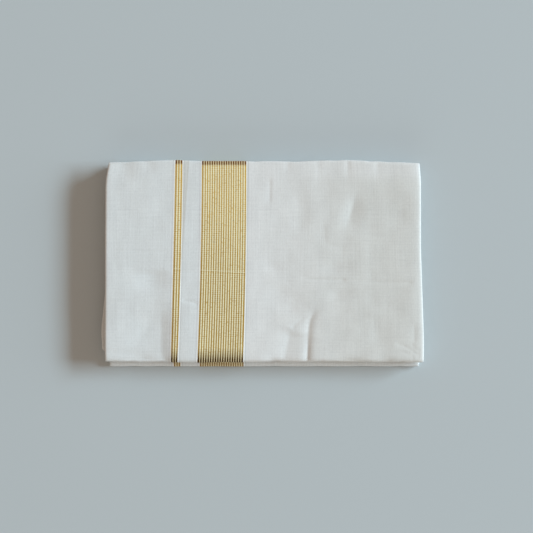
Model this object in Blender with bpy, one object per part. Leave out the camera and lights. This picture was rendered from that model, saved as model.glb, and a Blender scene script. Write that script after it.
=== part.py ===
"""A cotton dhoti with woven gold borders, pressed and folded flat."""

from collections import namedtuple
import math

import bmesh
import bpy

# Sizes are in millimetres, and MM turns them into metres where a mesh is made.
# The cloth's length runs along Y and its folded width along X. Z is up from the table.
MM = 0.001

# Thickness of the stack and of its parts.
STACK_HEIGHT = 20.0
TOP_WALL = 1.9          # folded plies over the top, at the side folds
WALL = 1.3              # the same plies round the upper folds
UNDER_WALL = 1.2        # the same plies round the lower folds and underneath
SEAM = 0.3              # clearance between neighbouring solids
BEND_CLEARANCE = 0.5    # clearance inside a fold, where both surfaces are faceted

# The upper turn of the stack, from the front fold over the top to the back.
FRONT_FOLD_TIP = -97.4
FRONT_FOLD_REACH = 9.0
FRONT_FOLD_LOW = 6.75
FRONT_TUCK = -80.0
BACK_HEM_REACH = 4.2
BACK_HEM_LOW = 15.3
BACK_TUCK = 92.0

# The lower turn, from the front edge along the table and up round the back fold.
UNDER_EDGE_TIP = -103.8
UNDER_EDGE_REACH = 4.5
UNDER_EDGE_HIGH = 6.45
UNDER_FRONT_TUCK = -85.0
UNDER_FOLD_TIP = 101.2
UNDER_FOLD_REACH = 8.5
UNDER_FOLD_HIGH = 13.1
UNDER_BACK_TUCK = 85.0
UNDER_LEFT_INSET = 3.3
UNDER_RIGHT_INSET = 3.6
END_LAYERS = 100.8      # the loose layer ends between the two back folds
HEM_FILLING = 97.3      # the layers held inside the back hem

# Woven bands: where they start and stop across the width, midway along the length.
STRIPE_LEFT = -89.6
STRIPE_RIGHT = -82.8
STRIPE_CORDS = 3
BORDER_LEFT = -61.9
BORDER_RIGHT = -18.1
BORDER_CORDS = 18
SELVEDGE_RIGHT = -15.9
CORD_RELIEF = 0.22
TOP_SLANT = 0.0235      # how far the bands lean across for each step along the length
UNDER_SLANT = 0.006
SELVEDGE_STEP = 0.4     # the stretch beyond the selvedge lies this much lower
SELVEDGE_DROP = 0.1

# The shallow hollow of the top between its four folds.
DISH_DEPTH = 0.35
DISH_HALF_WIDTH = 158.0
DISH_HALF_LENGTH = 100.0
DISH_SIDE_SLOPE = 60.0
DISH_END_SLOPE = 50.0

# The hidden layers, whose edges show at the two sides.
LAYERS = 15
LAYER_GROOVE = 0.5
LAYER_CREST = 0.05
LAYER_WANDER = 0.25
SLIVER_REACH = 4.4      # one loose ply that stands out at the left side
SLIVER_LOW = 8.6
SLIVER_HIGH = 11.4
SLIVER_START = -4.0     # it comes out gradually from here towards the front
SLIVER_SLOPE = 50.0
SLIVER_END = -93.0

TOP_STATIONS = (-80.0, -69.0, -58.0, -47.0, -35.0, -24.0, -16.0, -8.0, 8.0, 32.0, 58.0, 82.0)
UNDER_STATIONS = (-40.0, 30.0)
SIDE_STATIONS = (-76.0, -60.0, -38.0, -10.0, 20.0, 50.0, 74.0)
FRONT_ARC = 8
HEM_ARC = 5

SideFold = namedtuple("SideFold", "y left right")
BackFold = namedtuple("BackFold", "x y")
LayerInset = namedtuple("LayerInset", "z left right")
Crease = namedtuple("Crease", "x_start y_start x_end y_end depth half_width")
Place = namedtuple("Place", "x inner")
Station = namedtuple("Station", "share inset rise inner")

# Where the two side folds stand, seen from above.
SIDE_FOLDS = (
    SideFold(-104.0, -157.6, 161.0),
    SideFold(-76.0, -158.0, 161.4),
    SideFold(-36.0, -157.6, 160.1),
    SideFold(14.0, -157.6, 158.4),
    SideFold(84.0, -157.2, 158.4),
    SideFold(104.0, -153.6, 156.8),
)

# The back hem seen from above, with its two soft humps.
BACK_HEM = (
    BackFold(-158.0, 101.2),
    BackFold(-122.0, 102.6),
    BackFold(-95.0, 103.6),
    BackFold(-72.0, 103.6),
    BackFold(-60.0, 102.6),
    BackFold(37.0, 102.6),
    BackFold(84.0, 103.8),
    BackFold(137.0, 101.6),
    BackFold(158.0, 100.6),
)

# How far the edges of the hidden layers lie inside the top one.
LAYER_INSETS = (
    LayerInset(1.0, 3.6, 3.9),
    LayerInset(4.0, 3.0, 3.2),
    LayerInset(6.6, 3.7, 4.2),
    LayerInset(9.5, 1.0, 1.9),
    LayerInset(13.0, 1.6, 1.2),
    LayerInset(15.5, 0.7, 1.5),
    LayerInset(18.0, 0.9, 0.6),
)

# The largest creases pressed into the top, as soft troughs.
CREASES = (
    Crease(45.6, -97.0, 46.0, -58.0, 0.55, 4.5),
    Crease(46.0, -58.0, 63.0, -43.0, 0.40, 5.0),
    Crease(23.5, -95.0, 31.0, -62.0, 0.30, 6.0),
    Crease(-16.0, -11.0, 145.0, -20.0, 0.25, 5.0),
    Crease(85.0, 58.0, 96.0, 44.0, 0.40, 6.0),
    Crease(144.0, 66.0, 147.0, 20.0, 0.30, 6.0),
)

# Places across the plain stretches where their sections stand, and which reach the inner face.
TOP_LEFT_PLACES = (
    Place(-150.0, False),
    Place(-138.0, False),
    Place(-122.0, True),
    Place(-108.0, False),
    Place(-95.0, True),
)
TOP_RIGHT_PLACES = (
    Place(4.0, False),
    Place(18.0, False),
    Place(24.0, False),
    Place(31.0, False),
    Place(37.0, True),
    Place(41.5, False),
    Place(46.0, False),
    Place(50.5, False),
    Place(58.0, False),
    Place(66.0, False),
    Place(76.0, False),
    Place(84.0, True),
    Place(92.0, False),
    Place(102.0, False),
    Place(116.0, False),
    Place(130.0, True),
    Place(139.0, False),
    Place(145.5, False),
    Place(152.0, False),
)
UNDER_LEFT_PLACES = (
    Place(-130.0, False),
    Place(-105.0, True),
)
UNDER_RIGHT_PLACES = (
    Place(40.0, False),
    Place(100.0, False),
    Place(140.0, True),
)

# How a wall is rounded off at a side fold: reach from the edge and how much thinner each face is.
EDGE_ROUNDING = (
    (0.0, 0.5),
    (0.4, 0.15),
    (1.3, 0.0),
)


def clear_scene():
    for item in list(bpy.data.objects):
        bpy.data.objects.remove(item, do_unlink=True)


def read_table(rows, key, column, place):
    """A table's column at a place, in straight runs between its rows."""
    if place <= getattr(rows[0], key):
        return getattr(rows[0], column)
    for low, high in zip(rows, rows[1:]):
        if place <= getattr(high, key):
            span = getattr(high, key) - getattr(low, key)
            share = (place - getattr(low, key)) / span
            return getattr(low, column) * (1 - share) + getattr(high, column) * share
    return getattr(rows[-1], column)


def fold_arc(tip, reach, low, high, steps, facing):
    """Points round a fold from its low side to its high one. Facing is -1 at the front."""
    middle = (low + high) / 2
    half = (high - low) / 2
    points = []
    for step in range(steps + 1):
        angle = math.pi * (step / steps - 0.5)
        points.append((tip - facing * reach * (1 - math.cos(angle)), middle + half * math.sin(angle)))
    return points


def upper_paths(x):
    """Outer and inner section lines of the upper turn, where they cross the width at x."""
    hem = read_table(BACK_HEM, "x", "y", x)
    outer = [(FRONT_TUCK, FRONT_FOLD_LOW)]
    outer += fold_arc(FRONT_FOLD_TIP, FRONT_FOLD_REACH, FRONT_FOLD_LOW, STACK_HEIGHT, FRONT_ARC, -1)
    outer += [(y, STACK_HEIGHT) for y in TOP_STATIONS]
    outer += reversed(fold_arc(hem, BACK_HEM_REACH, BACK_HEM_LOW, STACK_HEIGHT, HEM_ARC, 1))
    outer.append((BACK_TUCK, BACK_HEM_LOW))

    ceiling = STACK_HEIGHT - TOP_WALL
    inner = [(FRONT_TUCK, FRONT_FOLD_LOW + WALL)]
    inner += fold_arc(FRONT_FOLD_TIP + WALL, FRONT_FOLD_REACH - WALL,
                      FRONT_FOLD_LOW + WALL, ceiling, FRONT_ARC, -1)
    inner += [(y, ceiling) for y in TOP_STATIONS]
    inner += reversed(fold_arc(hem - WALL, BACK_HEM_REACH - WALL,
                               BACK_HEM_LOW + WALL, ceiling, HEM_ARC, 1))
    inner.append((BACK_TUCK, BACK_HEM_LOW + WALL))
    return outer, inner


def under_paths(x):
    """Outer and inner section lines of the lower turn. They are the same at every x."""
    outer = [(UNDER_FRONT_TUCK, UNDER_EDGE_HIGH)]
    outer += reversed(fold_arc(UNDER_EDGE_TIP, UNDER_EDGE_REACH, 0.0, UNDER_EDGE_HIGH, HEM_ARC, -1))
    outer += [(y, 0.0) for y in UNDER_STATIONS]
    outer += fold_arc(UNDER_FOLD_TIP, UNDER_FOLD_REACH, 0.0, UNDER_FOLD_HIGH, FRONT_ARC, 1)
    outer.append((UNDER_BACK_TUCK, UNDER_FOLD_HIGH))

    wall = UNDER_WALL
    inner = [(UNDER_FRONT_TUCK, UNDER_EDGE_HIGH - wall)]
    inner += reversed(fold_arc(UNDER_EDGE_TIP + wall, UNDER_EDGE_REACH - wall,
                               wall, UNDER_EDGE_HIGH - wall, HEM_ARC, -1))
    inner += [(y, wall) for y in UNDER_STATIONS]
    inner += fold_arc(UNDER_FOLD_TIP - wall, UNDER_FOLD_REACH - wall,
                      wall, UNDER_FOLD_HIGH - wall, FRONT_ARC, 1)
    inner.append((UNDER_BACK_TUCK, UNDER_FOLD_HIGH - wall))
    return outer, inner


def outward(path, index, turn):
    """The direction square to a section line, away from the stack."""
    before = path[max(index - 1, 0)]
    after = path[min(index + 1, len(path) - 1)]
    along = (after[0] - before[0], after[1] - before[1])
    size = math.hypot(*along)
    return (-along[1] * turn / size, along[0] * turn / size)


def crease_depth(x, y):
    """How far the creases press the top down at a point."""
    depth = 0.0
    for crease in CREASES:
        run = (crease.x_end - crease.x_start, crease.y_end - crease.y_start)
        share = ((x - crease.x_start) * run[0] + (y - crease.y_start) * run[1]) / (run[0]**2 + run[1]**2)
        share = min(max(share, 0.0), 1.0)
        away = math.hypot(x - crease.x_start - share * run[0], y - crease.y_start - share * run[1])
        depth = max(depth, crease.depth * math.exp(-(away / crease.half_width)**2))
    return depth


def top_dish(x, y):
    """The shallow hollow of the top between its four folds."""
    across = min(1.0, max(0.0, (DISH_HALF_WIDTH - abs(x)) / DISH_SIDE_SLOPE))
    along = min(1.0, max(0.0, (DISH_HALF_LENGTH - abs(y)) / DISH_END_SLOPE))
    return DISH_DEPTH * math.sin(across * math.pi / 2) * math.sin(along * math.pi / 2)


def top_relief(x, y):
    return top_dish(x, y) + crease_depth(x, y)


def flat_relief(x, y):
    return 0.0


def band_edge(place, slant):
    """A line that runs along the cloth at a place across it, leaning with the bands."""
    return lambda y: place + slant * y


def side_edge(side, inset=0.0):
    """A side fold as a line along the cloth."""
    sign = -1 if side == "left" else 1
    return lambda y: read_table(SIDE_FOLDS, "y", side, y) - sign * inset


def even_stations(count):
    return [Station(step / count, 0.0, 0.0, step in (0, count)) for step in range(count + 1)]


def cord_stations(cords):
    """Two stations for each cord: the groove beside it and its crest."""
    count = cords * 2
    return [Station(step / count, 0.0, CORD_RELIEF * (step % 2), step in (0, count))
            for step in range(count + 1)]


def placed_stations(left, right, places, soft_side):
    """Stations at given places between two edges, rounded off where one edge is a side fold."""
    width = right - left
    stations = [Station((place.x - left) / width, 0.0, 0.0, place.inner) for place in places]
    soft_end = [Station(reach / width, inset, 0.0, True) for reach, inset in EDGE_ROUNDING]
    if soft_side == "left":
        return soft_end + stations + [Station(1.0, 0.0, 0.0, True)]
    soft_end = [station._replace(share=1 - station.share) for station in reversed(soft_end)]
    return [Station(0.0, 0.0, 0.0, True)] + stations + soft_end


def wall_point(path, index, turn, x, shift):
    """A point of a section line at x, moved outwards by shift."""
    away = outward(path, index, turn)
    y, z = path[index]
    return (x, y + away[0] * shift, z + away[1] * shift)


def make_wall(name, material, paths, turn, edges, stations, relief, drop=0.0):
    """One stretch of folded cloth: a wall that follows the section lines from edge to edge."""
    left, right = edges
    outer_rows = []
    inner_rows = []
    for station in stations:
        middle = left(0.0) + station.share * (right(0.0) - left(0.0))
        outer, inner = paths(middle)
        outer_row = []
        inner_row = []
        for index, (y, z) in enumerate(outer):
            x = left(y) + station.share * (right(y) - left(y))
            facing = max(0.0, outward(outer, index, turn)[1])
            on_table = z < 0.01
            tucked = index < 2 or index > len(outer) - 3
            shift = -station.inset - (relief(x, y) + drop) * facing
            shift += 0.0 if on_table or tucked else station.rise
            point = wall_point(outer, index, turn, x, shift)
            outer_row.append((point[0], point[1], 0.0) if on_table else point)
            inner_row.append(wall_point(inner, index, turn, x, station.inset))
        outer_rows.append(outer_row)
        if station.inner:
            inner_rows.append(inner_row)
    mesh = bmesh.new()
    outer_verts = [[mesh.verts.new([c * MM for c in point]) for point in row] for row in outer_rows]
    inner_verts = [[mesh.verts.new([c * MM for c in point]) for point in row] for row in inner_rows]
    for rows in (outer_verts, inner_verts):
        for near, far in zip(rows, rows[1:]):
            for index in range(len(near) - 1):
                mesh.faces.new((near[index], near[index + 1], far[index + 1], far[index]))
    for outer_side, inner_side in ((outer_verts[0], inner_verts[0]), (outer_verts[-1], inner_verts[-1])):
        for index in range(len(outer_side) - 1):
            mesh.faces.new((outer_side[index], outer_side[index + 1],
                            inner_side[index + 1], inner_side[index]))
    for end in (0, -1):
        lip = [row[end] for row in outer_verts] + [row[end] for row in reversed(inner_verts)]
        mesh.faces.new(lip)
    bmesh.ops.recalc_face_normals(mesh, faces=mesh.faces)
    return finish_object(name, material, mesh)


def finish_object(name, material, mesh):
    data = bpy.data.meshes.new(name)
    mesh.to_mesh(data)
    mesh.free()
    data.materials.append(material)
    data.shade_smooth()
    data.set_sharp_from_angle(angle=math.radians(40))
    item = bpy.data.objects.new(name, data)
    bpy.context.scene.collection.objects.link(item)
    return item


def make_material(name, colour, roughness, metallic):
    material = bpy.data.materials.new(name)
    material.use_nodes = True
    shader = material.node_tree.nodes["Principled BSDF"]
    shader.inputs["Base Color"].default_value = (*colour, 1.0)
    shader.inputs["Roughness"].default_value = roughness
    shader.inputs["Metallic"].default_value = metallic
    return material


def arc_limit(tip, reach, low, high, facing, z):
    """How far a solid inside a fold may come at a height."""
    middle = (low + high) / 2
    half = (high - low) / 2
    lift = min(1.0, abs(z - middle) / half)
    return tip - facing * reach * (1 - math.sqrt(1 - lift * lift))


def hidden_front(z):
    """Front limit of the hidden layers at a height."""
    if z < UNDER_EDGE_HIGH - UNDER_WALL - SEAM - 0.001:
        inset = UNDER_WALL + BEND_CLEARANCE
        return arc_limit(UNDER_EDGE_TIP + inset, UNDER_EDGE_REACH - inset,
                         UNDER_WALL + SEAM, UNDER_EDGE_HIGH - UNDER_WALL - SEAM, -1, z)
    if z <= FRONT_FOLD_LOW + WALL + SEAM + 0.001:
        return FRONT_TUCK + SEAM
    inset = WALL + BEND_CLEARANCE
    return arc_limit(FRONT_FOLD_TIP + inset, FRONT_FOLD_REACH - inset,
                     FRONT_FOLD_LOW + WALL + SEAM, STACK_HEIGHT - TOP_WALL - SEAM, -1, z)


def hidden_back(z):
    """Back limit of the hidden layers at a height."""
    if z < UNDER_FOLD_HIGH - UNDER_WALL - SEAM - 0.001:
        inset = UNDER_WALL + BEND_CLEARANCE
        return arc_limit(UNDER_FOLD_TIP - inset, UNDER_FOLD_REACH - inset,
                         UNDER_WALL + SEAM, UNDER_FOLD_HIGH - UNDER_WALL - SEAM, 1, z)
    if z <= UNDER_FOLD_HIGH + SEAM + 0.001:
        return UNDER_BACK_TUCK - SEAM
    if z < BACK_HEM_LOW - SEAM - 0.001:
        return END_LAYERS
    if z <= BACK_HEM_LOW + WALL + SEAM + 0.001:
        return BACK_TUCK - SEAM
    return HEM_FILLING


def hidden_levels():
    """Heights of the rings, each with how deep it lies in the groove between two layers."""
    low = UNDER_WALL + SEAM
    high = STACK_HEIGHT - TOP_WALL - SEAM
    pitch = (high - low) / LAYERS
    levels = []
    for layer in range(LAYERS):
        for share, groove in ((0.0, LAYER_GROOVE), (0.28, LAYER_CREST), (0.72, LAYER_CREST)):
            levels.append((low + (layer + share) * pitch, groove))
    levels.append((high, LAYER_GROOVE))
    recess_limits = (
        UNDER_EDGE_HIGH - UNDER_WALL - SEAM,
        FRONT_FOLD_LOW + WALL + SEAM,
        UNDER_FOLD_HIGH - UNDER_WALL - SEAM,
        UNDER_FOLD_HIGH + SEAM,
        BACK_HEM_LOW - SEAM,
        BACK_HEM_LOW + WALL + SEAM,
    )
    for limit in recess_limits:
        nearest = min(range(len(levels)), key=lambda index: abs(levels[index][0] - limit))
        levels[nearest] = (limit, levels[nearest][1])
    return levels


def sliver(y, z):
    """The loose ply at the left side, which stands out over part of the length."""
    if not SLIVER_LOW < z < SLIVER_HIGH:
        return 0.0
    if y < SLIVER_END:
        return 0.0
    return SLIVER_REACH * min(1.0, max(0.0, (SLIVER_START - y) / SLIVER_SLOPE))


def hidden_ring(z, groove):
    """One closed ring of the hidden layers."""
    front = hidden_front(z)
    back = hidden_back(z)
    left_inset = read_table(LAYER_INSETS, "z", "left", z) + LAYER_WANDER * math.sin(2.3 * z)
    right_inset = read_table(LAYER_INSETS, "z", "right", z) + LAYER_WANDER * math.sin(2.9 * z + 1.0)
    left = side_edge("left", left_inset + groove)
    right = side_edge("right", right_inset + groove)
    lengthwise = [front, *SIDE_STATIONS, back]
    ring = [(right(y), y, z) for y in lengthwise]
    ring += [(left(y) - sliver(y, z), y, z) for y in reversed(lengthwise)]
    return ring


def make_hidden_layers(material):
    """All the layers inside the stack as one solid, with their edges showing as ridges."""
    mesh = bmesh.new()
    rings = []
    for z, groove in hidden_levels():
        rings.append([mesh.verts.new([c * MM for c in point]) for point in hidden_ring(z, groove)])
    for low, high in zip(rings, rings[1:]):
        for index, vert in enumerate(low):
            following = (index + 1) % len(low)
            mesh.faces.new((vert, low[following], high[following], high[index]))
    half = len(rings[0]) // 2
    for ring in (rings[0], rings[-1]):
        for index in range(half - 1):
            mesh.faces.new((ring[index], ring[index + 1], ring[-2 - index], ring[-1 - index]))
    bmesh.ops.recalc_face_normals(mesh, faces=mesh.faces)
    return finish_object("hidden_layers", material, mesh)


def make_bands(group, paths, turn, slant, sides, places, drops, relief, materials):
    """The stretches of one turn, side by side across the width."""
    plain, zari = materials
    selvedge_drop, right_drop = drops
    half_seam = SEAM / 2

    def stretch(left, right):
        return (band_edge(left + half_seam, slant), band_edge(right - half_seam, slant))

    left_side, right_side = sides
    left_edges = (left_side, band_edge(STRIPE_LEFT - half_seam, slant))
    right_edges = (band_edge(SELVEDGE_RIGHT + half_seam, slant), right_side)
    left_stations = placed_stations(left_side(0.0), STRIPE_LEFT - half_seam, places[0], "left")
    right_stations = placed_stations(SELVEDGE_RIGHT + half_seam, right_side(0.0), places[1], "right")
    stretches = (
        ("plain_left", plain, left_edges, left_stations, 0.0),
        ("zari_stripe", zari, stretch(STRIPE_LEFT, STRIPE_RIGHT), cord_stations(STRIPE_CORDS), 0.0),
        ("plain_gap", plain, stretch(STRIPE_RIGHT, BORDER_LEFT), even_stations(2), 0.0),
        ("zari_border", zari, stretch(BORDER_LEFT, BORDER_RIGHT), cord_stations(BORDER_CORDS), 0.0),
        ("selvedge", plain, stretch(BORDER_RIGHT, SELVEDGE_RIGHT), even_stations(1), selvedge_drop),
        ("plain_right", plain, right_edges, right_stations, right_drop),
    )
    for name, material, edges, stations, drop in stretches:
        make_wall(f"{group}_{name}", material, paths, turn, edges, stations, relief, drop)


def main():
    clear_scene()
    plain = make_material("white_cotton", (0.60, 0.61, 0.60), 0.85, 0.0)
    zari = make_material("gold_zari", (0.52, 0.41, 0.20), 0.50, 0.35)
    materials = (plain, zari)
    top_sides = (side_edge("left"), side_edge("right"))
    under_sides = (side_edge("left", UNDER_LEFT_INSET), side_edge("right", UNDER_RIGHT_INSET))
    make_bands("top", upper_paths, 1, TOP_SLANT, top_sides, (TOP_LEFT_PLACES, TOP_RIGHT_PLACES),
               (SELVEDGE_DROP, SELVEDGE_STEP), top_relief, materials)
    make_bands("under", under_paths, -1, UNDER_SLANT, under_sides, (UNDER_LEFT_PLACES, UNDER_RIGHT_PLACES),
               (0.0, 0.0), flat_relief, materials)
    make_hidden_layers(plain)


main()
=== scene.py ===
from collections import namedtuple
import math

import bpy
import numpy as np
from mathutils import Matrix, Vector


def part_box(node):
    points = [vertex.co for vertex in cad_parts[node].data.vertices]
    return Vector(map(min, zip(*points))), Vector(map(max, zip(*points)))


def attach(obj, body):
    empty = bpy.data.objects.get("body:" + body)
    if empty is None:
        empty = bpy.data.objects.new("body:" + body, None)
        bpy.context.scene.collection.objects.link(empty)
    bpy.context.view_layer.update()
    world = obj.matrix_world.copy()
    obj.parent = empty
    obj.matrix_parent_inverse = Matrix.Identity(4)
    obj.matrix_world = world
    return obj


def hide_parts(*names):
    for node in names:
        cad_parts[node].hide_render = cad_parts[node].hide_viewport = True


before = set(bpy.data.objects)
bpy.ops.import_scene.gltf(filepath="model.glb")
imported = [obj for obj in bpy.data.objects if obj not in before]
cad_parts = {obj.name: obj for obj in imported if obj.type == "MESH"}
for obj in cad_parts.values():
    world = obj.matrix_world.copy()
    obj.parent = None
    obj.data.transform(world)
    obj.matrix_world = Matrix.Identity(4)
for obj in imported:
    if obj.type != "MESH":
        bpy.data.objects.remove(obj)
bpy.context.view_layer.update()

mm = 0.001  # every size below is in millimetres, and this turns it into metres

topLow, topHigh = [np.array(corner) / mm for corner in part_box("top_plain_left")]
underLow, underHigh = [np.array(corner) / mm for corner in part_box("under_plain_left")]


# Recipes: shader and geometry trees written as expressions

class Wire:
    # One output of a node, so that maths on it reads as an expression
    def __init__(self, recipe, socket):
        self.recipe = recipe
        self.socket = socket

    def other(self, name):
        return Wire(self.recipe, self.socket.node.outputs[name])

    def maths(self, operation, *values):
        return self.recipe.node("ShaderNodeMath", {"operation": operation}, dict(enumerate(values)))

    def sine(self):
        return self.maths("SINE", self)

    def absolute(self):
        return self.maths("ABSOLUTE", self)

    def floor(self):
        return self.maths("FLOOR", self)

    def smooth(self, low, high):
        # 0 below low, 1 above high, with a soft change between
        return self.recipe.node("ShaderNodeMapRange", {"interpolation_type": "SMOOTHSTEP"},
                                {"Value": self, "From Min": low, "From Max": high})

    def band(self, start, end):
        # 1 between the two soft changes, 0 on either side
        return self.smooth(*start) * (1.0 - self.smooth(*end))


def addOperator(word, operation):
    # The operator with a wire on its left, and reflected, with a number there
    setattr(Wire, f"__{word}__", lambda self, value: self.maths(operation, self, value))
    setattr(Wire, f"__r{word}__", lambda self, value: self.maths(operation, value, self))


for word, operation in {"add": "ADD", "sub": "SUBTRACT", "mul": "MULTIPLY", "truediv": "DIVIDE",
                        "pow": "POWER"}.items():
    addOperator(word, operation)


class Recipe:
    # A node tree being written
    def __init__(self, tree):
        self.tree = tree

    def node(self, kind, settings=None, inputs=None, output=0):
        made = self.tree.nodes.new(kind)
        for name, value in (settings or {}).items():
            setattr(made, name, value)
        for key, value in (inputs or {}).items():
            self.join(made.inputs[key], value)
        return Wire(self, made.outputs[output]) if len(made.outputs) else made

    def join(self, socket, value):
        if isinstance(value, Wire):
            self.tree.links.new(value.socket, socket)
        else:
            socket.default_value = value

    def mixColour(self, share, first, second, blend="MIX"):
        return self.node("ShaderNodeMix", {"data_type": "RGBA", "blend_type": blend},
                         {0: share, 6: first, 7: second}, 2)

    def tinted(self, share, base, tint):
        return self.mixColour(share, base, self.mixColour(1.0, base, tint, "MULTIPLY"))

    def vector(self, x, y, z):
        return self.node("ShaderNodeCombineXYZ", None, {0: x, 1: y, 2: z})

    def split(self, vector):
        return self.node("ShaderNodeSeparateXYZ", None, {0: vector})

    def attribute(self, name):
        return self.node("ShaderNodeAttribute", {"attribute_name": name}, None, "Fac")

    def weave(self):
        # Millimetres across and along the cloth
        parts = self.split(self.node("ShaderNodeUVMap", {"uv_map": "weave"}))
        return parts, parts.other("Y")

    def place(self):
        # Millimetres in the part's own frame
        spot = self.split(self.node("ShaderNodeTexCoord", None, None, "Object"))
        return [wire * (1 / mm) for wire in (spot, spot.other("Y"), spot.other("Z"))]

    def noise(self, place, scale, detail, roughness):
        return self.node("ShaderNodeTexNoise", None,
                         {"Vector": place, "Scale": scale, "Detail": detail, "Roughness": roughness})

    def woven(self, across, along, noise):
        # Noise over the weave, with its own pace across and along
        place = self.vector(across * noise.across, along * noise.along, noise.layer)
        return self.noise(place, 1.0, noise.detail, noise.roughness)

    def bump(self, shader, height, reach, strength):
        self.join(shader.inputs["Normal"], self.node(
            "ShaderNodeBump", None, {"Strength": strength, "Distance": reach * mm, "Height": height}))


def newMaterial(name, finish):
    material = bpy.data.materials.new(name)
    material.use_nodes = True
    shader = material.node_tree.nodes["Principled BSDF"]
    for word, value in finish.items():
        shader.inputs[word].default_value = value
    return material, Recipe(material.node_tree), shader


def colour(red, green, blue):
    return (red, green, blue, 1.0)


def scaled(base, share):
    return tuple(channel * share for channel in base[:3]) + (1.0,)


# Noise over the weave: its pace across and along, its own layer, and what it adds to tone and height
Noise = namedtuple("Noise", "across along layer detail roughness tone height", defaults=(0.0, 0.0))


# Cotton: a fine plain weave with slubs and faint streaks along the warp

cotton = {
    "leftColour": colour(0.790, 0.785, 0.770),
    "middleColour": colour(0.825, 0.797, 0.773),
    # Painted shade: the top's right stretch turns to this darker, warmer colour towards its fold
    "rightShadeColour": colour(0.752, 0.727, 0.687),
    "foldColour": colour(0.770, 0.760, 0.735),
    # Painted shade: a darker copy of the fold cotton for the right side's plies, which face the key light
    "rightFoldShadeColour": colour(0.650, 0.620, 0.585),
    # Painted shade between the plies of the side folds, in from each ply's nose
    "plyGapShadeTint": colour(0.520, 0.500, 0.480),
    # The ply below's gold seen through the top, with painted shade of the step beside each band
    "ghostAndShadeTint": colour(0.885, 0.855, 0.805), "ghostSoftness": 0.5, "ghostShadeFloor": 0.45,
    # A brighter strip beside each band: partly its white cords, partly painted highlight of the edge catching
    # the key light
    "firmCordsAndHighlightTint": colour(1.235, 1.225, 1.185), "firmCordsAndHighlightEnd": (1.0, 1.5),
    # Painted shade of a shallow groove a little further out from each band
    "grooveShadeTint": colour(0.900, 0.890, 0.890), "grooveShadeEnd": (2.1, 2.9),
    # Where the painted shade of the right stretch grows across, the reach near the hem where it fades, and
    # how much it fades there
    "rightShadeReach": (-20.0, 125.0), "hemReach": (78.0, 94.0), "rightShadeHemFade": 0.65,
    "toneRange": 0.15,
    "threadPitch": 0.42, "threadHeight": 0.3, "bumpHeight": 0.06, "bumpStrength": 0.7,
    "finish": {"Roughness": 0.86, "Sheen Weight": 0.10, "Sheen Roughness": 0.5, "Specular IOR Level": 0.25},
}

cottonNoises = {
    "warp streaks": Noise(0.75, 0.020, 0.0, 2.0, 0.6, 0.65, 0.7),
    "weft streaks": Noise(0.035, 0.75, 7.0, 2.0, 0.6, 0.45, 0.6),
    "slubs": Noise(0.9, 0.35, 3.0, 2.0, 0.6, 0.65, 0.9),
    "clouds": Noise(0.045, 0.03, 5.0, 3.0, 0.55, 0.50),
}

# Where the gold of the ply below shows through the top one, with painted shade of the step beside each band:
# its right edge and its width
ghostsAndShades = {
    "stripe": {"place": -80.85, "slant": 0.0742, "width": 7.2, "pitch": 2.2},
    "border": {"place": -16.25, "slant": 0.031, "width": 30.0, "pitch": 2.4},
}


def ghostAndShadeBand(x, y, ghost):
    # 1 on the lines of a gold band that shows through, the floor's share of painted shade across the rest of
    # the band, 0 elsewhere
    soft, floor = cotton["ghostSoftness"], cotton["ghostShadeFloor"]
    inward = ghost["place"] + y * ghost["slant"] - x
    inside = inward.band((-soft, soft), (ghost["width"] - soft, ghost["width"] + soft))
    lines = (inward * (math.pi / ghost["pitch"])).sine().absolute()
    return inside * (floor + lines * (1 - floor))


def cottonMaterial(name, base, rightShadeBase=None, showsThroughAndShaded=False):
    c = cotton
    material, recipe, shader = newMaterial(name, c["finish"])
    across, along = recipe.weave()
    x, y, _ = recipe.place()
    turn = math.pi / c["threadPitch"]
    tone = 0.5
    height = ((across * turn).sine() * (along * turn).sine()).absolute() * c["threadHeight"]
    for noise in cottonNoises.values():
        made = recipe.woven(across, along, noise)
        tone = tone + (made - 0.5) * noise.tone
        height = height + made * noise.height
    # Painted shade: from the base colour near the border to the darker, warmer one towards the right fold,
    # with less of it near the hem
    right = x.smooth(*c["rightShadeReach"]) * (1.0 - y.smooth(*c["hemReach"]) * c["rightShadeHemFade"])
    deep, pale = [recipe.mixColour(right, scaled(base, share), scaled(rightShadeBase or base, share))
                  for share in (1 - c["toneRange"], 1 + c["toneRange"])]
    cloth = recipe.mixColour(tone, deep, pale)
    # The ply below's gold seen through, with painted shade beside the bands
    if showsThroughAndShaded:
        for ghost in ghostsAndShades.values():
            cloth = recipe.tinted(ghostAndShadeBand(x, y, ghost), cloth, c["ghostAndShadeTint"])
    beside = recipe.attribute("beside")
    # Brighter beside each band: white cords and painted highlight
    cloth = recipe.tinted(1.0 - beside.smooth(*c["firmCordsAndHighlightEnd"]), cloth, c["firmCordsAndHighlightTint"])
    # Painted shade of a shallow groove a little further from each band
    cloth = recipe.tinted(beside.band(c["firmCordsAndHighlightEnd"], c["grooveShadeEnd"]), cloth, c["grooveShadeTint"])
    # Painted shade between the plies of the side folds
    cloth = recipe.tinted(recipe.attribute("sunk"), cloth, c["plyGapShadeTint"])
    recipe.join(shader.inputs["Base Color"], cloth)
    recipe.bump(shader, height, c["bumpHeight"], c["bumpStrength"])
    return material


# Zari: gold thread between raised cream cords

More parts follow.
